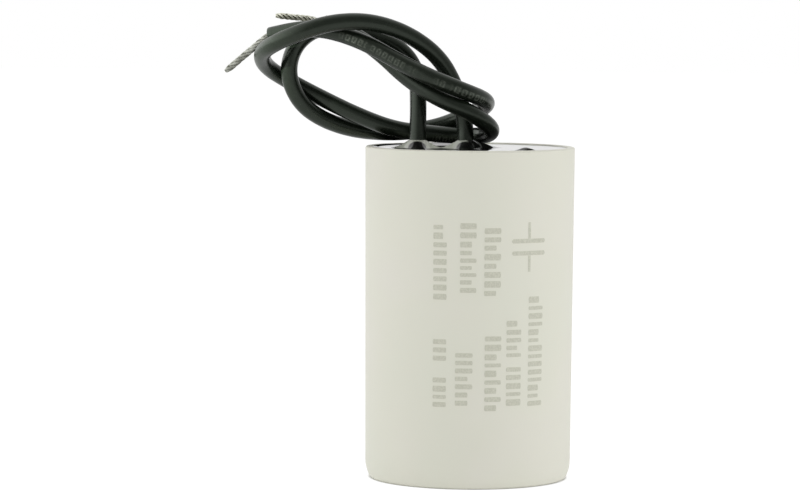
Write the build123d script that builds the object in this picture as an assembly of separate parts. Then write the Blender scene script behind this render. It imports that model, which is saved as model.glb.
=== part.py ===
"""Motor capacitor: a film winding potted in black resin in an open moulded cup, with two insulated leads.

Millimetres. The origin is the centre of the base, +Z is up and the leads lean over towards -X.
"""

import math
import os

from build123d import *

# Moulded cup
RIM_DIAMETER = 35.0
CUP_HEIGHT = 55.5
DRAFT = 0.006  # radius lost for each millimetre down from the rim, inside and out
WALL = 1.3
FLOOR = 1.8
LOWER_EDGE_RISE = 2.9  # height at which the side starts to curve in
LOWER_EDGE_INSET = 0.8  # how far that curve has come in at the base
BASE_BREAK = 0.4
INNER_CORNER = 1.9  # bevel between the floor and the wall, inside
RIM_ROUND = 0.3
BASE_RING_WIDTH = 4.4  # flat ring that the cup stands on, round the recess
BASE_RECESS_DEPTH = 0.4
GATE_DIAMETER = 2.2
GATE_HEIGHT = 0.25

# Feet on the cup's floor, which hold the winding clear of it
FOOT_COUNT = 3
FOOT_HEIGHT = 2.6
FOOT_THICKNESS = 1.1
FOOT_SOLDER_CLEARANCE = 1.5
FOOT_OUTER_INSET = 1.95  # from the edge of the wound film
FOOT_TIP_ROUND = 0.4

# Winding on its tube, with sprayed metal on both ends and a wrap of clear film
SIDE_RESIN = 1.1  # between the cup and the wrap, at the winding's lower end
TOP_RESIN = 7.2  # over the winding
WRAP_THICKNESS = 0.25
TUBE_DIAMETER = 7.0
TUBE_WALL = 1.2
SPRAY_THICKNESS = 0.7
SPRAY_MARGIN = 0.3  # bare film left round the rim of each sprayed end

# Leads
LEAD_DIAMETER = 2.8
STRAND_DIAMETER = 1.2
LEAD_A_INSET = 5.45  # its centre, from the edge of the sprayed end that it is soldered to
LEAD_B_X = -0.8
LEAD_A_EXIT = 1.2  # height above the resin up to which the lead is upright
LEAD_B_EXIT = 0.0
LEAD_A_STRIP_GAP = 2.7  # from the winding up to where the insulation starts, inside the resin
LEAD_B_STRIP_GAP = 1.7
RUN_SHARE = 0.45  # share of the shorter run that each bend takes up
TWIST_LOBES = 7
TWIST_DIAMETER = 1.3
TWIST_ROOT_DIAMETER = 0.98
TWIST_PITCH = 7.5
NECK_DIAMETER = 0.9
LEAD_A_NECK = 0.5  # from the cut end to the neck's elbow
LEAD_B_NECK = 2.2
BUNDLE_START = 1.2  # from the elbow to where the full bundle starts
NECK_LEG = 2.4  # run past the elbow that the neck is bent along
NECK_RADIUS = 1.3

# Solder
TOP_SOLDER_RADIUS = 2.3
TOP_SOLDER_HEIGHT = 1.5
BOTTOM_SOLDER_OVERLAP = 1.0  # beyond the tube's wall, onto the sprayed metal
BOTTOM_SOLDER_HEIGHT = 1.9
SOLDERED_LENGTH = 1.1  # strand end held in each joint

# Resin
FILL_BELOW_RIM = 0.5
WALL_CREEP_HEIGHT = 0.12  # how far the resin has crept up the cup's wall
WALL_CREEP_WIDTH = 0.7
COLLAR_A_RADIUS = 3.9
COLLAR_A_HEIGHT = 1.9
COLLAR_B_RADIUS = 3.95
COLLAR_B_HEIGHT = 1.8
COLLAR_LAP = 0.3  # how far a collar's outline runs on inside its lead
COLLAR_ROOT = 0.5  # how deep a collar starts below the fill height

# Lead routes on from there to the cut end: x, y and height above the resin
LEAD_A_ROUTE = [
    (-8.7, 0.2, 7.5), (-8.95, 0.8, 13.2), (-12.2, 1.6, 17.3), (-18.3, 2.2, 19.4), (-25.0, 2.2, 20.5),
    (-29.3, 1.8, 17.7), (-30.85, 1.6, 12.7), (-28.9, 2.6, 7.65), (-25.0, 4.8, 4.6), (-19.3, 7.2, 2.7),
    (-12.2, 8.6, 2.3), (-6.0, 9.0, 3.2), (-1.0, 7.6, 5.2), (2.75, 2.9, 7.15), (2.55, -2.9, 8.4),
    (-1.2, -7.4, 10.05), (-6.2, -7.8, 12.05), (-11.4, -6.8, 14.45), (-17.4, -5.5, 17.8),
    (-23.4, -4.6, 19.8), (-28.3, -3.2, 20.05), (-33.5, -1.5, 18.75),
]
LEAD_A_TIP = (-41.1, 1.4, 12.65)
LEAD_B_ROUTE = [
    (-0.9, 0.2, 5.2), (-2.45, -0.2, 10.4), (-5.3, -1.6, 15.5), (-10.4, -4.0, 19.3),
    (-16.6, -6.6, 21.35), (-22.9, -8.2, 21.15), (-28.6, -9.0, 19.3), (-32.8, -7.5, 17.4),
    (-34.95, -3.0, 15.8), (-34.45, 2.2, 13.55), (-30.8, 5.8, 11.1), (-25.0, 5.2, 8.15),
    (-19.0, 4.3, 5.35), (-12.9, 3.8, 3.1), (-7.0, 4.9, 2.4), (-1.5, 6.2, 2.0), (2.9, 3.4, 2.15),
    (3.85, -2.3, 3.55), (0.3, -6.3, 6.2), (-5.5, -6.1, 8.6), (-10.5, -4.3, 11.7), (-15.0, -2.4, 16.0),
    (-19.8, -1.4, 19.3), (-24.6, -1.0, 20.9),
]
LEAD_B_TIP = (-32.7, -0.7, 22.1)

rim_radius = RIM_DIAMETER / 2


def outer_radius(z):
    return rim_radius - DRAFT * (CUP_HEIGHT - z)


def inner_radius(z):
    return outer_radius(z) - WALL


fill_height = CUP_HEIGHT - FILL_BELOW_RIM
seat_height = FLOOR + FOOT_HEIGHT
winding_top = fill_height - TOP_RESIN
film_bottom = seat_height + SPRAY_THICKNESS
film_top = winding_top - SPRAY_THICKNESS
wrap_radius = inner_radius(film_bottom) - SIDE_RESIN
film_radius = wrap_radius - WRAP_THICKNESS
spray_radius = film_radius - SPRAY_MARGIN
tube_radius = TUBE_DIAMETER / 2
bore_radius = tube_radius - TUBE_WALL
bottom_solder_radius = tube_radius + BOTTOM_SOLDER_OVERLAP
lead_a_x = LEAD_A_INSET - spray_radius
lead_a_strip_height = winding_top + LEAD_A_STRIP_GAP
lead_b_strip_height = winding_top + LEAD_B_STRIP_GAP


def turned(*outline):
    """Solid turned about the Z axis from a closed outline of edges in the XZ plane."""
    face = make_face(Plane.XZ * Curve(list(outline)))
    return revolve(face, Axis.Z)


def upright(radius, bottom, top):
    """Cylinder on the Z axis between two heights."""
    return Pos(0, 0, bottom) * Cylinder(radius, top - bottom, align=(Align.CENTER, Align.CENTER, Align.MIN))


def ring(outer, inner, bottom, top):
    """Plain tube or washer between two heights."""
    return upright(outer, bottom, top) - upright(inner, bottom, top)


def inside_outline(top):
    """Edges of the cup's inside, from the centre of its floor up the wall to a height."""
    corner_top = FLOOR + INNER_CORNER
    corner_outer = inner_radius(corner_top)
    return [
        Line((0, FLOOR), (corner_outer - INNER_CORNER, FLOOR)),
        Line((corner_outer - INNER_CORNER, FLOOR), (corner_outer, corner_top)),
        Line((corner_outer, corner_top), (inner_radius(top), top)),
    ]


def feet():
    """Radial ribs on the floor, as one group to fuse with the cup."""
    inner_end = bottom_solder_radius + FOOT_SOLDER_CLEARANCE
    length = film_radius - FOOT_OUTER_INSET - inner_end
    sunk = FLOOR / 2
    foot = Box(length, FOOT_THICKNESS, FOOT_HEIGHT + sunk, align=(Align.MIN, Align.CENTER, Align.MIN))
    foot = fillet(foot.edges().filter_by(Axis.Z), FOOT_TIP_ROUND)
    foot = Pos(inner_end, 0, FLOOR - sunk) * foot
    return [Rot(0, 0, 90 + i * 360 / FOOT_COUNT) * foot for i in range(FOOT_COUNT)]


def moulded_cup():
    """Drafted cup: curved lower edge, recessed base with its gate mark, feet inside."""
    side_foot = outer_radius(LOWER_EDGE_RISE)
    base_radius = side_foot - LOWER_EDGE_INSET
    body = turned(
        Line((0, 0), (base_radius, 0)),
        TangentArc((side_foot, LOWER_EDGE_RISE), (base_radius, 0), tangent=(-DRAFT, -1)),
        Line((side_foot, LOWER_EDGE_RISE), (rim_radius, CUP_HEIGHT)),
        Line((rim_radius, CUP_HEIGHT), (0, CUP_HEIGHT)),
        Line((0, CUP_HEIGHT), (0, 0)),
    )
    base_edge = body.edges().filter_by(GeomType.CIRCLE).sort_by(Axis.Z)[0]
    body = fillet(base_edge, BASE_BREAK)
    cup = body - turned(
        *inside_outline(CUP_HEIGHT),
        Line((inner_radius(CUP_HEIGHT), CUP_HEIGHT), (0, CUP_HEIGHT)),
        Line((0, CUP_HEIGHT), (0, FLOOR)),
    )
    rim_edges = cup.edges().filter_by(GeomType.CIRCLE).group_by(Axis.Z)[-1]
    cup = fillet(rim_edges, RIM_ROUND)
    cup -= upright(base_radius - BASE_RING_WIDTH, 0, BASE_RECESS_DEPTH)
    cup += upright(GATE_DIAMETER / 2, BASE_RECESS_DEPTH - GATE_HEIGHT, BASE_RECESS_DEPTH)
    for foot in feet():
        cup += foot
    return cup


def solder_dome(base_radius, height):
    """Rounded blob of solder standing on the XY plane."""
    return turned(
        Line((0, 0), (base_radius, 0)),
        TangentArc((0, height), (base_radius, 0), tangent=(1, 0)),
        Line((0, height), (0, 0)),
    )


def bend_radii(points):
    """Largest arc that the two runs at each corner of a route leave room for."""
    spots = [Vector(*p) for p in points]
    radii = []
    for before, here, after in zip(spots, spots[1:], spots[2:]):
        turn = math.radians((here - before).get_angle(after - here))
        shorter = min((here - before).length, (after - here).length)
        radii.append(RUN_SHARE * shorter / math.tan(turn / 2))
    return radii


def lead_path(points):
    return FilletPolyline(*[Vector(*p) for p in points], radius=bend_radii(points))


def insulated_lead(name, points):
    """Round lead along straight runs joined by tangent arcs; prints its bends and its volume."""
    path = lead_path(points)
    section = Plane(path @ 0, z_dir=path % 0) * Circle(LEAD_DIAMETER / 2)
    lead = sweep(section, path)
    expected = math.pi * (LEAD_DIAMETER / 2) ** 2 * path.length
    print(name, "bends", [round(r, 1) for r in bend_radii(points)], "length", round(path.length, 1))
    print(name, "volume", round(lead.volume, 2), "section by length", round(expected, 2))
    return lead


def twisted_end(start, direction, tip, neck_length):
    """Bare strands past the cut insulation: a short bent neck, then the bundle twisted and tinned."""
    start, tip = Vector(*start), Vector(*tip)
    elbow = start + direction * neck_length
    along = (tip - elbow).normalized()
    neck_path = FilletPolyline(start, elbow, elbow + along * NECK_LEG, radius=NECK_RADIUS)
    neck = sweep(Plane(neck_path @ 0, z_dir=neck_path % 0) * Circle(NECK_DIAMETER / 2), neck_path)
    bundle_start = elbow + along * BUNDLE_START
    length = (tip - bundle_start).length
    star = []
    for i in range(2 * TWIST_LOBES):
        radius = (TWIST_DIAMETER if i % 2 else TWIST_ROOT_DIAMETER) / 2
        angle = math.pi * i / TWIST_LOBES
        star.append((radius * math.cos(angle), radius * math.sin(angle)))
    section = make_face(Polyline(*star, close=True))
    bundle = Solid.extrude_linear_with_rotation(
        section.face(), center=(0, 0, 0), normal=(0, 0, length), angle=360 * length / TWIST_PITCH
    )
    bundle = Plane(bundle_start, z_dir=along).location * bundle
    return neck + bundle


def strand(x, top, bottom):
    """Straight bare strand between the insulation and its solder joint."""
    return Pos(x, 0, 0) * upright(STRAND_DIAMETER / 2, bottom, top)


def collar(x, radius, height):
    """Resin that has crept up a lead."""
    top_radius = LEAD_DIAMETER / 2 - COLLAR_LAP
    body = turned(
        Line((0, -COLLAR_ROOT), (radius, -COLLAR_ROOT)),
        Line((radius, -COLLAR_ROOT), (radius, 0)),
        TangentArc((radius, 0), (top_radius, height), tangent=(-1, 0)),
        Line((top_radius, height), (0, height)),
        Line((0, height), (0, -COLLAR_ROOT)),
    )
    return Pos(x, 0, fill_height) * body


def poured_resin(buried):
    """Everything below the fill height that the cup and the buried pieces leave free."""
    creep_top = fill_height + WALL_CREEP_HEIGHT
    creep_outer = inner_radius(creep_top)
    creep_inner = creep_outer - WALL_CREEP_WIDTH
    body = turned(
        *inside_outline(creep_top),
        TangentArc((creep_inner, fill_height), (creep_outer, creep_top), tangent=(1, 0)),
        Line((creep_inner, fill_height), (0, fill_height)),
        Line((0, fill_height), (0, FLOOR)),
    )
    body += collar(lead_a_x, COLLAR_A_RADIUS, COLLAR_A_HEIGHT)
    body += collar(LEAD_B_X, COLLAR_B_RADIUS, COLLAR_B_HEIGHT)
    for piece in [*feet(), *buried]:
        body -= piece
    return body


def lead_route(x, strip_height, exit_height, points):
    """Route in the part's frame: upright from the stripped point in the resin, then through the points."""
    above = [(x, 0, exit_height), *points]
    return [(x, 0, strip_height), *((px, py, fill_height + height) for px, py, height in above)]


def bare_end(route, tip, neck_length):
    """Twisted end that carries on from the cut end of a route."""
    last_run = (Vector(*route[-1]) - Vector(*route[-2])).normalized()
    return twisted_end(route[-1], last_run, (tip[0], tip[1], fill_height + tip[2]), neck_length)


parts = {}
parts["case"] = moulded_cup()
parts["winding_tube"] = ring(tube_radius, bore_radius, seat_height, winding_top)
parts["film_winding"] = ring(film_radius, tube_radius, film_bottom, film_top)
parts["wrap_film"] = ring(wrap_radius, film_radius, film_bottom, film_top)
parts["end_spray_bottom"] = ring(spray_radius, tube_radius, seat_height, film_bottom)
parts["end_spray_top"] = ring(spray_radius, tube_radius, film_top, winding_top)

tail_a = strand(lead_a_x, lead_a_strip_height, winding_top + TOP_SOLDER_HEIGHT - SOLDERED_LENGTH)
tail_b = strand(LEAD_B_X, lead_b_strip_height, seat_height - SOLDERED_LENGTH)
top_solder = Pos(lead_a_x, 0, winding_top) * solder_dome(TOP_SOLDER_RADIUS, TOP_SOLDER_HEIGHT)
parts["solder_joint_top"] = top_solder - tail_a
bottom_solder = solder_dome(bottom_solder_radius, BOTTOM_SOLDER_HEIGHT)
parts["solder_joint_bottom"] = Pos(0, 0, seat_height) * Rot(180, 0, 0) * bottom_solder - tail_b

route_a = lead_route(lead_a_x, lead_a_strip_height, LEAD_A_EXIT, LEAD_A_ROUTE)
route_b = lead_route(LEAD_B_X, lead_b_strip_height, LEAD_B_EXIT, LEAD_B_ROUTE)
parts["lead_a_insulation"] = insulated_lead("lead_a", route_a)
parts["lead_b_insulation"] = insulated_lead("lead_b", route_b)
buried = [tail_a, tail_b, *(parts[name] for name in parts if name != "case")]
parts["potting_resin"] = poured_resin(buried)
end_a = bare_end(route_a, LEAD_A_TIP, LEAD_A_NECK)
end_b = bare_end(route_b, LEAD_B_TIP, LEAD_B_NECK)
parts["lead_a_conductor"] = Compound(children=[tail_a.solid(), end_a.solid()])
parts["lead_b_conductor"] = Compound(children=[tail_b.solid(), end_b.solid()])

os.makedirs("parts", exist_ok=True)
for name, shape in parts.items():
    export_step(shape, f"parts/{name}.step")
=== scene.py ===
"""Motor capacitor on a white table: an ivory cup full of black resin, with two black leads looped over it.

Metres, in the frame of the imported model: the cup stands on z = 0 and the camera looks along +Y.
"""

import math
import random

import bmesh
import bpy
from mathutils import Matrix, Vector, noise


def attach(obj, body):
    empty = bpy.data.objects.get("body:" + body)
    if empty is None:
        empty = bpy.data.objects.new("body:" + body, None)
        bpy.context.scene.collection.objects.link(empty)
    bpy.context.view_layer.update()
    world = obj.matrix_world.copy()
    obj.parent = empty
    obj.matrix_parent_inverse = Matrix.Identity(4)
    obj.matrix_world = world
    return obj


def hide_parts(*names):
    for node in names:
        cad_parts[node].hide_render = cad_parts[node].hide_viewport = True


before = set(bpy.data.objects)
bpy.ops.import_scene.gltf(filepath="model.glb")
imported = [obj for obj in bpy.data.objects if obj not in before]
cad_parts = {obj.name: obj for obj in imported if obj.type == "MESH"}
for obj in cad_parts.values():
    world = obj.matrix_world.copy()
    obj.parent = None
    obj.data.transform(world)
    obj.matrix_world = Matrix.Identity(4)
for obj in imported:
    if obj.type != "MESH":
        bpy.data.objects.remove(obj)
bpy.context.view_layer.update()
bpy.ops.object.select_all(action="DESELECT")

# Camera. It stands 0.6 m in front of the cup and a little above it, and looks slightly down. The
# lens is a long one, so the two sides of the cup stay nearly parallel in the picture.
CAMERA_DISTANCE = 0.6
CAMERA_HEIGHT = 0.08154
CAMERA_YAW = 0.01933
CAMERA_PITCH = 0.07236
CAMERA_ROLL = 0.00711
CAMERA_LENS = 161.62

bpy.ops.object.camera_add(location=(0, -CAMERA_DISTANCE, CAMERA_HEIGHT))
camera = bpy.context.object
camera.name = "photograph_camera"
turned = Matrix.Rotation(CAMERA_YAW, 4, "Z") @ Matrix.Rotation(math.pi / 2 - CAMERA_PITCH, 4, "X")
camera.matrix_world = Matrix.Translation(camera.location) @ turned @ Matrix.Rotation(CAMERA_ROLL, 4, "Z")
camera.data.sensor_width = 36
camera.data.lens = CAMERA_LENS
bpy.context.scene.camera = camera

# Leads. Two lengths of stranded wire in soft black insulation. They come up out of the resin, loop
# over to the left above the cup and are cut square, with the strands bared past the cut.
LEAD_DIAMETER = 0.0028
RESIN_LEVEL = 0.055
LEAD_A_X = -0.0088
LEAD_B_X = -0.0008
LEAD_A_STRIP = -0.0045
LEAD_B_STRIP = -0.0055
LEAD_SIDES = 28
LINE_STEPS = 14
CUT_ROUND = 0.00014
STRAND_HOLE = 0.00064
HOLE_DEPTH = 0.0012

# Each route is x, y and the height above the resin.
LEAD_A_ROUTE = [
    (LEAD_A_X, 0, LEAD_A_STRIP), (LEAD_A_X, 0, 0.0012), (-0.0087, 0.0002, 0.0075),
    (-0.00895, 0.0008, 0.0132), (-0.0122, 0.0016, 0.0173), (-0.0183, 0.0022, 0.0194),
    (-0.0250, 0.0022, 0.0205), (-0.0293, 0.0018, 0.0177), (-0.03085, 0.0016, 0.0127),
    (-0.0289, 0.0026, 0.00765), (-0.0250, 0.0048, 0.0046), (-0.0193, 0.0072, 0.0027),
    (-0.0122, 0.0086, 0.0023), (-0.0060, 0.0090, 0.0032), (-0.0010, 0.0076, 0.0052),
    (0.00275, 0.0029, 0.00715), (0.00255, -0.0029, 0.0084), (-0.0012, -0.0074, 0.00997),
    (-0.0062, -0.0078, 0.01195), (-0.0114, -0.0068, 0.01437), (-0.0174, -0.0055, 0.0178),
    (-0.0234, -0.0046, 0.0198), (-0.0283, -0.0032, 0.02005), (-0.0335, -0.0015, 0.01875),
]
LEAD_B_ROUTE = [
    (LEAD_B_X, 0, LEAD_B_STRIP), (LEAD_B_X, 0, 0.0), (-0.0009, 0.0002, 0.0052),
    (-0.00245, -0.0002, 0.0104), (-0.0053, -0.0016, 0.0155), (-0.0104, -0.0040, 0.0193),
    (-0.0166, -0.0066, 0.02135), (-0.0229, -0.0082, 0.02115), (-0.0286, -0.0090, 0.0193),
    (-0.0328, -0.0075, 0.0174), (-0.03495, -0.0030, 0.0158), (-0.03445, 0.0022, 0.01355),
    (-0.0308, 0.0058, 0.0111), (-0.0250, 0.0052, 0.00815), (-0.0190, 0.0043, 0.00535),
    (-0.0129, 0.0038, 0.0031), (-0.0070, 0.0049, 0.0024), (-0.0015, 0.0062, 0.0020),
    (0.0029, 0.0034, 0.00215), (0.00385, -0.0023, 0.00360), (0.0003, -0.0063, 0.00630),
    (-0.0055, -0.0061, 0.00872), (-0.0105, -0.0043, 0.0118), (-0.0150, -0.0024, 0.016),
    (-0.0198, -0.0014, 0.0193), (-0.0246, -0.0010, 0.0209),
]


def smooth_line(name, points, steps=LINE_STEPS):
    """Points along the smooth line that a route's points pull into shape."""
    line = bpy.data.curves.new(name, "CURVE")
    line.dimensions = "3D"
    spline = line.splines.new("NURBS")
    spline.points.add(len(points) - 1)
    for spot, (x, y, height) in zip(spline.points, points):
        spot.co = (x, y, RESIN_LEVEL + height, 1)
    spline.order_u = 3
    spline.use_endpoint_u = True
    spline.resolution_u = steps
    holder = bpy.data.objects.new(name, line)
    mesh = bpy.data.meshes.new_from_object(holder)
    spots = [vertex.co.copy() for vertex in mesh.vertices]
    bpy.data.objects.remove(holder)
    bpy.data.curves.remove(line)
    bpy.data.meshes.remove(mesh)
    return spots


def headings(spots):
    """Direction of a line at each of its points."""
    return [(spots[min(i + 1, len(spots) - 1)] - spots[max(i - 1, 0)]).normalized() for i in range(len(spots))]


def sweep(bm, stations, sides, uv, turn=0.0):
    """Tube through stations of centre, heading, radius and distance along, closed at both ends."""
    rings = []
    side = stations[0][1].orthogonal().normalized()
    for centre, heading, radius, along in stations:
        side = (side - heading * side.dot(heading)).normalized()
        other = heading.cross(side)
        ring = []
        for i in range(sides):
            angle = math.tau * i / sides + turn
            ring.append(bm.verts.new(centre + (side * math.cos(angle) + other * math.sin(angle)) * radius))
        rings.append(ring)
    for j, (low, high) in enumerate(zip(rings, rings[1:])):
        for i in range(sides):
            k = (i + 1) % sides
            face = bm.faces.new((low[i], low[k], high[k], high[i]))
            spots = ((i, j), (i + 1, j), (i + 1, j + 1), (i, j + 1))
            for loop, (across, row) in zip(face.loops, spots):
                loop[uv].uv = (stations[row][3] * 100, across / sides)
    bm.faces.new(list(reversed(rings[0])))
    bm.faces.new(rings[-1])


def finished_mesh(name, bm, smooth_angle=40):
    """Object at the origin from a mesh being built, shaded smooth up to an angle."""
    bmesh.ops.recalc_face_normals(bm, faces=bm.faces)
    mesh = bpy.data.meshes.new(name)
    bm.to_mesh(mesh)
    bm.free()
    piece = bpy.data.objects.new(name, mesh)
    bpy.context.scene.collection.objects.link(piece)
    bpy.ops.object.select_all(action="DESELECT")
    piece.select_set(True)
    bpy.context.view_layer.objects.active = piece
    bpy.ops.object.shade_smooth_by_angle(angle=math.radians(smooth_angle))
    return piece


def marks_turn(stations, where, facing):
    """Turn of the tube that brings the middle of its UV map to a direction, at a distance along."""
    side = stations[0][1].orthogonal().normalized()
    for _, heading, _, along in stations:
        side = (side - heading * side.dot(heading)).normalized()
        if along >= where:
            break
    other = heading.cross(side)
    return math.atan2(other.dot(facing), side.dot(facing)) - math.pi


def insulation(name, spots, marked_at, marks_face):
    """Insulation along a line, with a rounded cut edge and the hole that the strands leave by."""
    radius = LEAD_DIAMETER / 2
    along = 0
    stations = []
    ways = headings(spots)
    for i, (spot, way) in enumerate(zip(spots, ways)):
        along += (spot - spots[i - 1]).length if i else 0
        swell = 1 + 0.006 * noise.noise(spot * 900) + 0.002
        stations.append((spot, way, radius * swell, along))
    end, way = spots[-1], ways[-1]
    stations[-1] = (end - way * CUT_ROUND, way, radius * 0.998, along)
    for back, share in ((CUT_ROUND * 0.4, 0.975), (CUT_ROUND * 0.1, 0.94), (0, 0.88)):
        stations.append((end - way * back, way, radius * share, along))
    stations.append((end + way * 0.00003, way, STRAND_HOLE + 0.0002, along))
    stations.append((end - way * 0.00012, way, STRAND_HOLE, along))
    stations.append((end - way * HOLE_DEPTH, way, STRAND_HOLE * 0.96, along))
    bm = bmesh.new()
    turn = marks_turn(stations, marked_at, Vector(marks_face))
    sweep(bm, stations, LEAD_SIDES, bm.loops.layers.uv.new("UVMap"), turn)
    return finished_mesh(name, bm)


def new_material(name):
    """Empty material with its shader, and the helpers that add nodes to it."""
    material = bpy.data.materials.new(name)
    material.use_nodes = True
    tree = material.node_tree
    return material, tree.nodes, tree.links, tree.nodes["Principled BSDF"]


def add_noise(nodes, links, vector, scale, detail=3, roughness=0.5):
    field = nodes.new("ShaderNodeTexNoise")
    field.inputs["Scale"].default_value = scale
    field.inputs["Detail"].default_value = detail
    field.inputs["Roughness"].default_value = roughness
    links.new(vector, field.inputs["Vector"])
    return field.outputs["Fac"]


def add_ramp(nodes, links, value, stops):
    ramp = nodes.new("ShaderNodeValToRGB")
    elements = ramp.color_ramp.elements
    while len(elements) < len(stops):
        elements.new(0.5)
    for element, (place, colour) in zip(elements, stops):
        element.position = place
        element.color = (*colour, 1)
    links.new(value, ramp.inputs["Fac"])
    return ramp.outputs["Color"]


def add_range(nodes, links, value, low, high, from_low=0.0, from_high=1.0):
    fit = nodes.new("ShaderNodeMapRange")
    fit.inputs["From Min"].default_value = from_low
    fit.inputs["From Max"].default_value = from_high
    fit.inputs["To Min"].default_value = low
    fit.inputs["To Max"].default_value = high
    links.new(value, fit.inputs["Value"])
    return fit.outputs["Result"]


def add_bump(nodes, links, height, strength, distance, under=None):
    bump = nodes.new("ShaderNodeBump")
    bump.inputs["Strength"].default_value = strength
    bump.inputs["Distance"].default_value = distance
    links.new(height, bump.inputs["Height"])
    if under is not None:
        links.new(under, bump.inputs["Normal"])
    return bump.outputs["Normal"]


def stretched(nodes, links, source, scale):
    """Texture coordinates, scaled by different amounts on each axis."""
    mapping = nodes.new("ShaderNodeMapping")
    mapping.inputs["Scale"].default_value = scale
    links.new(source, mapping.inputs["Vector"])
    return mapping.outputs["Vector"]


def add_gate(nodes, links, value, scale, low, high):
    """1 where the fraction of a scaled value lies between two numbers, with a soft edge."""
    part = nodes.new("ShaderNodeMath")
    part.operation = "MULTIPLY"
    part.inputs[1].default_value = scale
    links.new(value, part.inputs[0])
    fraction = nodes.new("ShaderNodeMath")
    fraction.operation = "FRACT"
    links.new(part.outputs["Value"], fraction.inputs[0])
    off = nodes.new("ShaderNodeMath")
    off.operation = "SUBTRACT"
    off.inputs[1].default_value = (low + high) / 2
    links.new(fraction.outputs["Value"], off.inputs[0])
    size = nodes.new("ShaderNodeMath")
    size.operation = "ABSOLUTE"
    links.new(off.outputs["Value"], size.inputs[0])
    half = (high - low) / 2
    return add_range(nodes, links, size.outputs["Value"], 1, 0, half * 0.85, half * 1.15)


def multiplied(nodes, links, one, other):
    product = nodes.new("ShaderNodeMath")
    product.operation = "MULTIPLY"
    links.new(one, product.inputs[0])
    if isinstance(other, float):
        product.inputs[1].default_value = other
    else:
        links.new(other, product.inputs[1])
    return product.outputs["Value"]


def brighter(nodes, links, one, other):
    most = nodes.new("ShaderNodeMath")
    most.operation = "MAXIMUM"
    links.new(one, most.inputs[0])
    links.new(other, most.inputs[1])
    return most.outputs["Value"]


def insulation_material():
    """Black plastic with a fine drag along it, a little dust, and a faint row of plain grey marks."""
    material, nodes, links, shader = new_material("black_insulation")
    spots = nodes.new("ShaderNodeTexCoord")
    map_axes = nodes.new("ShaderNodeSeparateXYZ")
    links.new(spots.outputs["UV"], map_axes.inputs["Vector"])
    marks = add_gate(nodes, links, map_axes.outputs["X"], 8.6, 0.08, 0.80)
    for scale, low, high in ((0.56, 0.05, 0.80), (1.37, 0.02, 0.88)):
        marks = multiplied(nodes, links, marks, add_gate(nodes, links, map_axes.outputs["X"], scale, low, high))
    marks = multiplied(nodes, links, marks, add_gate(nodes, links, map_axes.outputs["Y"], 1.0, 0.435, 0.565))
    marks = multiplied(nodes, links, marks, add_range(nodes, links, map_axes.outputs["X"], 0, 1, 9.0, 9.1))
    marks = multiplied(nodes, links, marks, add_range(nodes, links, map_axes.outputs["X"], 1, 0, 12.7, 12.8))
    hollow = multiplied(
        nodes, links, add_gate(nodes, links, map_axes.outputs["X"], 8.6, 0.29, 0.59),
        add_gate(nodes, links, map_axes.outputs["Y"], 1.0, 0.465, 0.535))
    marks = multiplied(nodes, links, marks, add_range(nodes, links, hollow, 1.0, 0.2))
    drag = add_noise(nodes, links, stretched(nodes, links, spots.outputs["UV"], (0.6, 22, 1)), 4, 4)
    dust = add_noise(nodes, links, spots.outputs["Object"], 1400, 6, 0.7)
    haze = add_noise(nodes, links, spots.outputs["Object"], 90, 3)
    colour = add_ramp(nodes, links, dust, [
        (0.30, (0.0036, 0.0054, 0.0034)), (0.62, (0.0066, 0.0090, 0.0060)), (0.82, (0.024, 0.029, 0.021))])
    worn = add_noise(nodes, links, spots.outputs["Object"], 2600, 3, 0.7)
    marks = multiplied(nodes, links, marks, add_range(nodes, links, worn, 0.25, 1.0, 0.38, 0.60))
    inked = nodes.new("ShaderNodeMix")
    inked.data_type = "RGBA"
    inked.inputs[7].default_value = (0.066, 0.073, 0.060, 1)
    links.new(marks, inked.inputs[0])
    links.new(colour, inked.inputs[6])
    links.new(inked.outputs[2], shader.inputs["Base Color"])
    links.new(add_range(nodes, links, haze, 0.22, 0.33, 0.3, 0.7), shader.inputs["Roughness"])
    coarse = add_bump(nodes, links, drag, 0.20, 0.00003)
    links.new(add_bump(nodes, links, dust, 0.15, 0.00002, coarse), shader.inputs["Normal"])
    shader.inputs["Specular Tint"].default_value = (0.88, 1.0, 0.85, 1)
    return material


black_insulation = insulation_material()
line_a = smooth_line("lead_a_line", LEAD_A_ROUTE)
line_b = smooth_line("lead_b_line", LEAD_B_ROUTE)
lead_a = insulation("lead_a", line_a, 0.098, (0, -1, -0.15))
lead_b = insulation("lead_b", line_b, 0.105, (0, -1, -0.3))
for lead, node in ((lead_a, "lead_a_insulation"), (lead_b, "lead_b_insulation")):
    lead.data.materials.append(black_insulation)
    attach(lead, "root")
    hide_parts(node)

# Bared strands. The fine copper strands of each lead are twisted into one bundle and dipped in
# tin, which fills the gaps between them. The other ends run down inside the resin.
LEAD_A_TIP = (-0.0411, 0.0014, 0.01265)
LEAD_B_TIP = (-0.0327, -0.0007, 0.0221)
LEAD_A_NECK = 0.0005
LEAD_B_NECK = 0.0022
STRAND_RADIUS = 0.00013
# radius of the lay, its length for one turn, how far up the strands the tin stands, the number of
# pairs and the open share between two pairs
LEAD_A_LAY = (0.00042, 0.0060, 0.92, 5, 0.46)
LEAD_B_LAY = (0.00039, 0.0034, 0.55, 4, 0.66)
TIP_TAPER = 0.0011
STRAND_STEP = 0.00018
STRAND_SIDES = 8
WINDING_TOP = 0.0478
SEAT_HEIGHT = 0.0044


def even_stations(spots, step):
    """Points an even distance apart along a line, each with its direction and distance."""
    found = []
    travelled, due = 0.0, 0.0
    for here, there in zip(spots, spots[1:]):
        run = (there - here).length
        while run and due <= travelled + run:
            found.append((here.lerp(there, (due - travelled) / run), (there - here).normalized(), due))
            due += step
        travelled += run
    ways = headings([spot for spot, _, _ in found])
    return [(spot, way, along) for (spot, _, along), way in zip(found, ways)]


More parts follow.
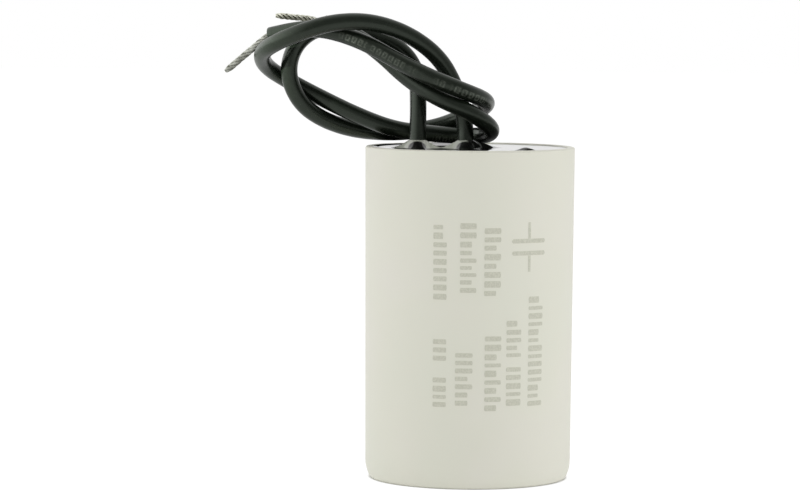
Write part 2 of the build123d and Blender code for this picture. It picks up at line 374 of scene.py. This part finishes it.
def add_bundle(bm, uv, spots, lay, tapered):
    """Twisted pairs of strands round a core of tin, along a line."""
    lay_radius, lay_length, tin_fill, pairs, pair_gap = lay
    stations = even_stations(spots, STRAND_STEP)
    length = stations[-1][2]
    side = stations[0][1].orthogonal().normalized()
    frames = []
    for spot, way, along in stations:
        side = (side - way * side.dot(way)).normalized()
        close = 1.0
        if tapered and length - along < TIP_TAPER:
            close = 0.5 + 0.5 * math.sin(math.pi / 2 * (length - along) / TIP_TAPER)
        frames.append((spot, way, side.copy(), way.cross(side), along, close))
    core = [(spot, way, lay_radius * tin_fill * close, along) for spot, way, _, _, along, close in frames]
    before = len(bm.faces)
    sweep(bm, core, 12, uv)
    # Where the tin stands low, the core takes the second slot, a near-black material that is painted shade in the gaps
    # between the strands.
    if tin_fill < 0.8:
        bm.faces.ensure_lookup_table()
        for face in bm.faces[before:]:
            face.material_index = 1
    for pair in range(pairs):
        for member in (-1, 1):
            start = math.tau * (pair + member * (1 - pair_gap) / 4) / pairs
            loose = random.uniform(0.97, 1.05)
            rings = []
            for spot, way, one, other, along, close in frames:
                angle = start + math.tau * along / lay_length + 0.12 * noise.noise((along * 900, pair, member))
                reach = lay_radius * close * loose * (1 + 0.05 * noise.noise((along * 700, pair + 9, member)))
                rings.append(spot + (one * math.cos(angle) + other * math.sin(angle)) * reach)
            ways = headings(rings)
            sweep(bm, [
                (spot, way, STRAND_RADIUS * (0.6 + 0.4 * f[5]), f[4]) for spot, way, f in zip(rings, ways, frames)
            ], STRAND_SIDES, uv)


def bare_strands(name, line, tip, neck_length, lay, tail):
    """Bundle past the cut end, through a short bend to the tip, and the tail down in the resin."""
    end, way = line[-1], (line[-1] - line[-2]).normalized()
    tip = Vector((tip[0], tip[1], RESIN_LEVEL + tip[2]))
    elbow = end + way * neck_length
    points = [end - way * HOLE_DEPTH * 0.9, end + way * 0.0002, elbow, elbow.lerp(tip, 0.35), elbow.lerp(tip, 0.7), tip]
    curve = smooth_line(name + "_line", [(p.x, p.y, p.z - RESIN_LEVEL) for p in points], 16)
    bm = bmesh.new()
    uv = bm.loops.layers.uv.new("UVMap")
    add_bundle(bm, uv, curve, lay, True)
    add_bundle(bm, uv, tail, lay, False)
    return finished_mesh(name, bm, 60)


def tinned_material(name, dark, middle, light):
    material, nodes, links, shader = new_material(name)
    spots = nodes.new("ShaderNodeTexCoord")
    stain = add_noise(nodes, links, spots.outputs["Object"], 900, 3, 0.5)
    grain = add_noise(nodes, links, spots.outputs["Object"], 9000, 3, 0.6)
    colour = add_ramp(nodes, links, stain, [(0.28, dark), (0.44, middle), (0.72, light)])
    links.new(colour, shader.inputs["Base Color"])
    links.new(add_range(nodes, links, stain, 0.62, 0.36, 0.3, 0.7), shader.inputs["Roughness"])
    links.new(add_bump(nodes, links, grain, 0.3, 0.00001), shader.inputs["Normal"])
    shader.inputs["Metallic"].default_value = 0.9
    return material


random.seed(5)
# Lead A's tin is given a darker colour than lead B's.
darker_tin = tinned_material("darker_tin", (0.065, 0.062, 0.043), (0.22, 0.225, 0.194), (0.36, 0.369, 0.33))
lighter_tin = tinned_material("lighter_tin", (0.16, 0.156, 0.11), (0.42, 0.424, 0.345), (0.60, 0.60, 0.515))
# Near-black core material: painted shade in the gaps between the strands.
painted_shade_core = tinned_material("painted_shade_core", (0.012, 0.011, 0.005), (0.020, 0.019, 0.009), (0.030, 0.028, 0.014))
tail_a = [Vector((LEAD_A_X, 0, height)) for height in (RESIN_LEVEL + LEAD_A_STRIP, WINDING_TOP + 0.0004)]
tail_b = [Vector((LEAD_B_X, 0, height)) for height in (RESIN_LEVEL + LEAD_B_STRIP, SEAT_HEIGHT - 0.0011)]
strands_a = bare_strands("lead_a_strands", line_a, LEAD_A_TIP, LEAD_A_NECK, LEAD_A_LAY, tail_a)
strands_b = bare_strands("lead_b_strands", line_b, LEAD_B_TIP, LEAD_B_NECK, LEAD_B_LAY, tail_b)
for piece, node, tin in ((strands_a, "lead_a_conductor", darker_tin), (strands_b, "lead_b_conductor", lighter_tin)):
    piece.data.materials.append(tin)
    # Second slot: the near-black core, painted shade in the gaps between the strands.
    piece.data.materials.append(painted_shade_core)
    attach(piece, "root")
    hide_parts(node)

# Cup. One moulding in ivory plastic with a fine satin face, drafted so that it leaves its mould,
# with a curved lower edge.


def cup_material():
    material, nodes, links, shader = new_material("ivory_moulding")
    spots = nodes.new("ShaderNodeTexCoord")
    cloud = add_noise(nodes, links, spots.outputs["Object"], 55, 2)
    satin = add_noise(nodes, links, spots.outputs["Object"], 5200, 3, 0.6)
    colour = add_ramp(nodes, links, cloud, [
        (0.30, (0.696, 0.702, 0.607)), (0.52, (0.708, 0.704, 0.614)), (0.72, (0.718, 0.706, 0.630))])
    links.new(colour, shader.inputs["Base Color"])
    links.new(add_range(nodes, links, cloud, 0.40, 0.50, 0.3, 0.7), shader.inputs["Roughness"])
    links.new(add_bump(nodes, links, satin, 0.10, 0.00001), shader.inputs["Normal"])
    shader.inputs["Specular IOR Level"].default_value = 0.32
    return material


def dress(node, material):
    """Gives a solid of the model its finish."""
    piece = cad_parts[node]
    piece.data.materials.clear()
    piece.data.materials.append(material)
    return piece


dress("case", cup_material())

# Print on the cup's side. Pad-printed in grey ink once the cup was moulded: rows of plain blocks up
# the side, and the drawing office's sign for a capacitor. The ink has no thickness to speak of.
RIM_RADIUS = 0.0175
RIM_HEIGHT = 0.0555
WALL_DRAFT = 0.006
INK_DEPTH = 0.00002
BLOCK_LENGTHS = (0.00070, 0.00095, 0.00080, 0.00060, 0.00105)
BLOCK_GAP = 0.00055
LOW_BLOCK = 0.72
PRINT_ROWS = [
    # from and to across the wall, then from and to in height
    (-0.0060, -0.0037, 0.0312, 0.0435), (-0.0060, -0.0037, 0.0212, 0.0257), (-0.0060, -0.0037, 0.0136, 0.0192),
    (-0.0015, 0.0012, 0.0324, 0.0435), (-0.0022, 0.0007, 0.0139, 0.0232),
    (0.0025, 0.0053, 0.0319, 0.0440), (0.0027, 0.0055, 0.0130, 0.0262),
    (0.0064, 0.0091, 0.0218, 0.0282), (0.0064, 0.0091, 0.0138, 0.0200),
    (0.0105, 0.0135, 0.0136, 0.0319),
]
SIGN_BARS = [
    # the same, for the two plates and the two wires of the sign
    (0.0072, 0.0138, 0.0404, 0.0411), (0.0072, 0.0138, 0.0384, 0.0391),
    (0.01025, 0.01075, 0.04113, 0.0438), (0.01025, 0.01075, 0.0357, 0.03837),
]


def ink_block(across_from, across_to, low, high):
    """One block of ink with cut corners, as a thin slab bent round the cup's wall."""
    bpy.ops.object.select_all(action="DESELECT")
    bpy.ops.mesh.primitive_grid_add(x_subdivisions=6, y_subdivisions=3, size=1)
    block = bpy.context.object
    thick = block.modifiers.new("ink", "SOLIDIFY")
    thick.thickness = INK_DEPTH
    thick.offset = 1
    bpy.ops.object.modifier_apply(modifier="ink")
    for vertex in block.data.vertices:
        u, v = vertex.co.x, vertex.co.y
        if abs(u) > 0.49 and abs(v) > 0.49:
            u *= 0.93
        across = across_from + (across_to - across_from) * (u + 0.5)
        height = low + (high - low) * (v + 0.5)
        angle = across / RIM_RADIUS
        reach = RIM_RADIUS - WALL_DRAFT * (RIM_HEIGHT - height) + 0.000006 + vertex.co.z
        vertex.co = (reach * math.sin(angle), -reach * math.cos(angle), height)
    return block


def ink_material():
    material, nodes, links, shader = new_material("grey_ink")
    spots = nodes.new("ShaderNodeTexCoord")
    wear = add_noise(nodes, links, spots.outputs["Object"], 3800, 3, 0.6)
    colour = add_ramp(nodes, links, wear, [(0.36, (0.60, 0.60, 0.505)), (0.60, (0.515, 0.515, 0.425))])
    links.new(colour, shader.inputs["Base Color"])
    links.new(add_bump(nodes, links, wear, 0.2, 0.00001), shader.inputs["Normal"])
    shader.inputs["Roughness"].default_value = 0.55
    return material


blocks = []
for across_from, across_to, bottom, top in PRINT_ROWS:
    low = bottom
    while low < top - 0.0006:
        high = low + random.choice(BLOCK_LENGTHS)
        far_side = across_from + (across_to - across_from) * random.choice((1, 1, LOW_BLOCK))
        blocks.append(ink_block(across_from, far_side, low, high))
        low = high + BLOCK_GAP
for bar in SIGN_BARS:
    blocks.append(ink_block(*bar))
for block in blocks:
    block.select_set(True)
bpy.context.view_layer.objects.active = blocks[0]
bpy.ops.object.join()
print_marks = bpy.context.object
print_marks.name = "print_marks"
bpy.ops.object.mode_set(mode="EDIT")
bpy.ops.mesh.select_all(action="SELECT")
bpy.ops.mesh.normals_make_consistent(inside=False)
bpy.ops.object.mode_set(mode="OBJECT")
print_marks.data.materials.append(ink_material())
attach(print_marks, "root")

# Resin. Black casting resin, poured nearly to the rim. It has a glassy face, and has crept up the
# wall and up both leads before it set.


# Half width, lift of its middle over the resin and half height of the space round each lead where the pale painted
# reflection is left out.
DOME = (0.00155, 0.0002, 0.00118)
# Middle of the patch between the leads that gets the flat grey painted reflection, then its size across and front to
# back.
GREY_REFLECTION_PATCH = (-0.0048, 0.0008, 0.0029, 0.0122)


def resin_material(with_painted_reflections):
    """Black glassy resin. The kind with painted reflections has a pale painted reflection beside the leads and a flat
    grey painted reflection between them, and is dull between and behind them.
    """
    material, nodes, links, shader = new_material("resin_painted_reflections" if with_painted_reflections else "black_resin")
    spots = nodes.new("ShaderNodeTexCoord")
    swell = add_noise(nodes, links, spots.outputs["Object"], 160, 2)
    colour = add_ramp(nodes, links, swell, [(0.35, (0.006, 0.006, 0.006)), (0.70, (0.011, 0.011, 0.010))])
    if with_painted_reflections:
        place = nodes.new("ShaderNodeSeparateXYZ")
        links.new(spots.outputs["Object"], place.inputs["Vector"])
        # Pale painted reflection on the meniscus beside each lead, left of lead B and above the plain face: colour
        # standing in for the bright room mirrored there.
        pale_painted_reflection = multiplied(
            nodes, links, add_range(nodes, links, place.outputs["X"], 1, 0, LEAD_B_X, LEAD_B_X + 0.0006),
            add_range(nodes, links, place.outputs["Z"], 0, 1, RESIN_LEVEL + 0.00019, RESIN_LEVEL + 0.00030))
        for centre in (LEAD_A_X, LEAD_B_X):
            dome = nodes.new("ShaderNodeMapping")
            dome.inputs["Location"].default_value = (-centre / DOME[0], 0, -(RESIN_LEVEL + DOME[1]) / DOME[2])
            dome.inputs["Scale"].default_value = (1 / DOME[0], 0, 1 / DOME[2])
            links.new(spots.outputs["Object"], dome.inputs["Vector"])
            outside = nodes.new("ShaderNodeVectorMath")
            outside.operation = "LENGTH"
            links.new(dome.outputs["Vector"], outside.inputs[0])
            pale_painted_reflection = multiplied(nodes, links, pale_painted_reflection, add_range(nodes, links, outside.outputs["Value"], 0, 1, 0.92, 1.04))
        # Colour of the pale painted reflection.
        pale = nodes.new("ShaderNodeMix")
        pale.data_type = "RGBA"
        pale.inputs[7].default_value = (0.48, 0.50, 0.43, 1)
        swell_colour = colour
        colour = pale.outputs[2]
        flat = nodes.new("ShaderNodeCombineXYZ")
        links.new(place.outputs["X"], flat.inputs["X"])
        links.new(place.outputs["Y"], flat.inputs["Y"])
        reach = nodes.new("ShaderNodeVectorMath")
        reach.operation = "LENGTH"
        links.new(flat.outputs["Vector"], reach.inputs[0])
        at_wall = multiplied(
            nodes, links, add_range(nodes, links, reach.outputs["Value"], 0, 1, 0.0150, 0.0154),
            add_range(nodes, links, place.outputs["X"], 1, 0, -0.0095, -0.0085))
        at_wall = multiplied(nodes, links, at_wall, add_range(nodes, links, place.outputs["Y"], 0, 1, 0.0, 0.001))
        pale_painted_reflection = multiplied(nodes, links, pale_painted_reflection, add_range(nodes, links, reach.outputs["Value"], 1, 0, 0.0135, 0.0145))
        # Patch between the leads with a flat grey painted reflection and no gloss.
        patch = nodes.new("ShaderNodeMapping")
        patch.inputs["Location"].default_value = (-GREY_REFLECTION_PATCH[0] / GREY_REFLECTION_PATCH[2], -GREY_REFLECTION_PATCH[1] / GREY_REFLECTION_PATCH[3], 0)
        patch.inputs["Scale"].default_value = (1 / GREY_REFLECTION_PATCH[2], 1 / GREY_REFLECTION_PATCH[3], 0)
        links.new(spots.outputs["Object"], patch.inputs["Vector"])
        spread = nodes.new("ShaderNodeVectorMath")
        spread.operation = "LENGTH"
        links.new(patch.outputs["Vector"], spread.inputs[0])
        between = add_range(nodes, links, spread.outputs["Value"], 1, 0, 0.70, 1.10)
        dull = brighter(nodes, links, at_wall, between)
        links.new(add_range(nodes, links, dull, 0.5, 0.0), shader.inputs["Specular IOR Level"])
        # Flat grey colour of the painted reflection between the leads.
        grey_reflection_mix = nodes.new("ShaderNodeMix")
        grey_reflection_mix.data_type = "RGBA"
        grey_reflection_mix.inputs[7].default_value = (0.075, 0.079, 0.070, 1)
        links.new(between, grey_reflection_mix.inputs[0])
        links.new(swell_colour, grey_reflection_mix.inputs[6])
        links.new(grey_reflection_mix.outputs[2], pale.inputs[6])
        links.new(pale_painted_reflection, pale.inputs[0])
    links.new(colour, shader.inputs["Base Color"])
    links.new(add_range(nodes, links, swell, 0.02, 0.05, 0.3, 0.7), shader.inputs["Roughness"])
    links.new(add_bump(nodes, links, swell, 0.10, 0.0001), shader.inputs["Normal"])
    shader.inputs["IOR"].default_value = 1.56
    return material


dress("potting_resin", resin_material(False))

# Top of the resin. The poured face as it set: a wide meniscus round both leads and along the wall,
# a slow swell over the whole face and one drip near the front, all in the same black resin.
SKIN_RADIUS = 0.01619
SKIN_LIFT = 0.00034
LEFT_DIP = 0.00018
SKIN_RINGS = 84
SKIN_SPOKES = 320
LEAD_MENISCUS = [
    # x, height at the lead, reach, and how much further it runs out to the right
    (LEAD_A_X, 0.00138, 0.0030, 0.0), (LEAD_B_X, 0.00132, 0.0031, 0.60),
]
WALL_MENISCUS = (0.00031, 0.0009)
DRIP = (0.0091, -0.0126, 0.00062, 0.0014)


def resin_height(x, y):
    """Height of the resin's face over its plain level."""
    left = min(max((0.002 - x) / 0.005, 0), 1)
    height = left * (WALL_MENISCUS[0] * math.exp((math.hypot(x, y) - SKIN_RADIUS) / WALL_MENISCUS[1]) - LEFT_DIP)
    for centre, rise, reach, lean in LEAD_MENISCUS:
        away = math.hypot(x - centre, y)
        right = (x - centre) / away if away else 0
        run = max(away - LEAD_DIAMETER / 2, -0.0001)
        height += rise * max(1 - run / (reach * (1 + lean * max(right, 0))), 0) ** 1.5
    away = math.hypot(x - DRIP[0], (y - DRIP[1]) * 1.5)
    height += DRIP[2] * math.exp(-((away / DRIP[3]) ** 2))
    return height + 0.00001 * noise.noise((x * 130, y * 130, 3.0))


bpy.ops.object.select_all(action="DESELECT")
bpy.ops.mesh.primitive_grid_add(x_subdivisions=SKIN_RINGS, y_subdivisions=SKIN_SPOKES, size=1)
resin_face = bpy.context.object
resin_face.name = "resin_face"
for vertex in resin_face.data.vertices:
    reach = SKIN_RADIUS * (vertex.co.x + 0.5)
    angle = -math.tau * (vertex.co.y + 0.5)
    x, y = reach * math.cos(angle), reach * math.sin(angle)
    vertex.co = (x, y, RESIN_LEVEL + SKIN_LIFT + resin_height(x, y))
bpy.ops.object.mode_set(mode="EDIT")
bpy.ops.mesh.select_all(action="SELECT")
bpy.ops.mesh.remove_doubles(threshold=0.000004)
bpy.ops.mesh.normals_make_consistent(inside=False)
bpy.ops.object.mode_set(mode="OBJECT")
if resin_face.data.polygons[0].normal.z < 0:
    resin_face.data.flip_normals()
skin = resin_face.modifiers.new("skin", "SOLIDIFY")
skin.thickness = SKIN_LIFT + 0.00001
skin.offset = -1
bpy.ops.object.modifier_apply(modifier="skin")
bpy.ops.object.shade_smooth_by_angle(angle=math.radians(50))
# The face takes the resin with painted reflections: pale beside the leads, flat grey between them.
resin_face.data.materials.append(resin_material(True))
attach(resin_face, "root")

# Inner pieces. The film winding on its tube, its wrap, the zinc sprayed on both ends and the two
# soldered joints. The resin and the cup hide all of them.


def inner_material(name, low, high, metallic, roughness, scale):
    material, nodes, links, shader = new_material(name)
    spots = nodes.new("ShaderNodeTexCoord")
    grain = add_noise(nodes, links, spots.outputs["Object"], scale, 4)
    links.new(add_ramp(nodes, links, grain, [(0.35, low), (0.65, high)]), shader.inputs["Base Color"])
    links.new(add_bump(nodes, links, grain, 0.3, 0.00004), shader.inputs["Normal"])
    shader.inputs["Metallic"].default_value = metallic
    shader.inputs["Roughness"].default_value = roughness
    return material


sprayed_zinc = inner_material("sprayed_zinc", (0.30, 0.31, 0.32), (0.50, 0.51, 0.52), 0.8, 0.7, 3000)
solder = inner_material("solder", (0.55, 0.55, 0.56), (0.72, 0.72, 0.73), 1, 0.25, 400)
dress("winding_tube", inner_material("tube_plastic", (0.50, 0.47, 0.38), (0.56, 0.53, 0.44), 0, 0.5, 500))
dress("film_winding", inner_material("wound_film", (0.42, 0.43, 0.45), (0.50, 0.51, 0.53), 0.7, 0.3, 900))
dress("wrap_film", inner_material("wrap_film", (0.62, 0.58, 0.46), (0.70, 0.66, 0.54), 0, 0.25, 200))
for node in ("end_spray_bottom", "end_spray_top"):
    dress(node, sprayed_zinc)
for node in ("solder_joint_top", "solder_joint_bottom"):
    dress(node, solder)

# Table and surroundings. A white sheet that runs on to the horizon, a white room that is dimmer
# behind the camera, and soft lamps at both sides and above.
FLOOR_SIZE = 6.0
ROOM_LIGHT = 0.46
FRONT_GLOSS = 0.28
LEFT_GLOSS = 2.35
RIGHT_GLOSS = 0.55
FLOOR_GLOW = 0.86
FLOOR_BOUNCE = 0.36
FLOOR_WHITE = 1.12
FRONT_FLOOR = 0.60
LEFT_FLOOR = 1.25
RIGHT_FLOOR = 0.6


def white_floor_material():
    """White to the camera and in reflections, with a little of the shade that the cup throws."""
    material, nodes, links, shader = new_material("white_table")
    shader.inputs["Base Color"].default_value = (0.9, 0.9, 0.9, 1)
    shader.inputs["Roughness"].default_value = 0.8
    rays = nodes.new("ShaderNodeLightPath")
    glow = nodes.new("ShaderNodeEmission")
    either = brighter(nodes, links, rays.outputs["Is Camera Ray"], rays.outputs["Is Glossy Ray"])
    all_three = brighter(nodes, links, either, rays.outputs["Is Transmission Ray"])
    spots = nodes.new("ShaderNodeTexCoord")
    away = nodes.new("ShaderNodeVectorMath")
    away.operation = "LENGTH"
    links.new(spots.outputs["Object"], away.inputs[0])
    open_floor = add_range(nodes, links, away.outputs["Value"], 0, FLOOR_GLOW, 0.0164, 0.0169)
    mix = nodes.new("ShaderNodeMixShader")
    onto_object = multiplied(nodes, links, rays.outputs["Is Diffuse Ray"], FLOOR_BOUNCE)
    share = multiplied(nodes, links, brighter(nodes, links, all_three, onto_object), open_floor)
    links.new(share, mix.inputs["Fac"])
    links.new(shader.outputs["BSDF"], mix.inputs[1])
    links.new(glow.outputs["Emission"], mix.inputs[2])
    place = nodes.new("ShaderNodeSeparateXYZ")
    links.new(spots.outputs["Object"], place.inputs["Vector"])
    ahead = add_range(nodes, links, place.outputs["Y"], FRONT_FLOOR, FLOOR_WHITE, -0.9, 0.6)
    ahead = multiplied(nodes, links, ahead, add_range(nodes, links, place.outputs["X"], 1, RIGHT_FLOOR, 0.15, 0.9))
    beside = add_range(nodes, links, place.outputs["X"], LEFT_FLOOR, FRONT_FLOOR, -1.0, -0.1)
    mirrored = brighter(nodes, links, ahead, beside)
    level = nodes.new("ShaderNodeMapRange")
    level.inputs["To Min"].default_value = FLOOR_WHITE
    links.new(rays.outputs["Is Glossy Ray"], level.inputs["Value"])
    links.new(mirrored, level.inputs["To Max"])
    links.new(level.outputs["Result"], glow.inputs["Strength"])
    links.new(mix.outputs["Shader"], nodes["Material Output"].inputs["Surface"])
    return material


bpy.ops.mesh.primitive_plane_add(size=FLOOR_SIZE, location=(0, 0, 0))
table = bpy.context.object
table.name = "white_table"
table.data.materials.append(white_floor_material())

room = bpy.data.worlds.new("white_room")
bpy.context.scene.world = room
room.use_nodes = True
room_nodes, room_links = room.node_tree.nodes, room.node_tree.links
rays = room_nodes.new("ShaderNodeLightPath")
way = room_nodes.new("ShaderNodeTexCoord")
axes = room_nodes.new("ShaderNodeSeparateXYZ")
room_links.new(way.outputs["Generated"], axes.inputs["Vector"])
from_front = add_range(room_nodes, room_links, axes.outputs["Y"], FRONT_GLOSS, 1.0, -0.45, 0.15)
from_front = multiplied(
    room_nodes, room_links, from_front, add_range(room_nodes, room_links, axes.outputs["X"], 1, RIGHT_GLOSS, 0.1, 0.8))
from_left = add_range(room_nodes, room_links, axes.outputs["X"], LEFT_GLOSS, FRONT_GLOSS, -0.95, -0.10)
mirrored = brighter(room_nodes, room_links, from_front, from_left)
lit = room_nodes.new("ShaderNodeMapRange")
lit.inputs["To Min"].default_value = ROOM_LIGHT
room_links.new(rays.outputs["Is Glossy Ray"], lit.inputs["Value"])
room_links.new(mirrored, lit.inputs["To Max"])
seen = brighter(room_nodes, room_links, rays.outputs["Is Camera Ray"], rays.outputs["Is Transmission Ray"])
level = room_nodes.new("ShaderNodeMapRange")
level.inputs["To Max"].default_value = 1.0
room_links.new(seen, level.inputs["Value"])
room_links.new(lit.outputs["Result"], level.inputs["To Min"])
room_links.new(level.outputs["Result"], room_nodes["Background"].inputs["Strength"])
room_nodes["Background"].inputs["Color"].default_value = (1, 1, 1, 1)


def soft_lamp(name, place, size, power):
    """Square soft box that faces the middle of the object and isn't mirrored in it."""
    bpy.ops.object.light_add(type="AREA", location=place)
    lamp = bpy.context.object
    lamp.name = name
    lamp.data.size = size
    lamp.data.energy = power
    lamp.visible_glossy = False
    lamp.rotation_euler = (Vector((-0.005, 0, 0.045)) - lamp.location).to_track_quat("-Z", "Y").to_euler()


soft_lamp("left_box", (-0.55, -0.26, 0.17), 0.5, 1.70)
soft_lamp("right_box", (0.55, -0.25, 0.15), 0.5, 2.05)
bpy.ops.object.light_add(type="SPOT", location=(-0.50, -0.22, 0.078))
loop_light = bpy.context.object
loop_light.name = "loop_light"
loop_light.data.energy = 50
loop_light.data.spot_size = math.radians(2.9)
loop_light.data.spot_blend = 0.8
loop_light.data.shadow_soft_size = 0.004
loop_light.visible_glossy = False
loop_light.rotation_euler = (Vector((-0.033, 0, 0.074)) - loop_light.location).to_track_quat("-Z", "Y").to_euler()
soft_lamp("top_box", (-0.05, 0.34, 0.62), 0.4, 1.2)

bpy.context.scene.view_settings.view_transform = "Standard"
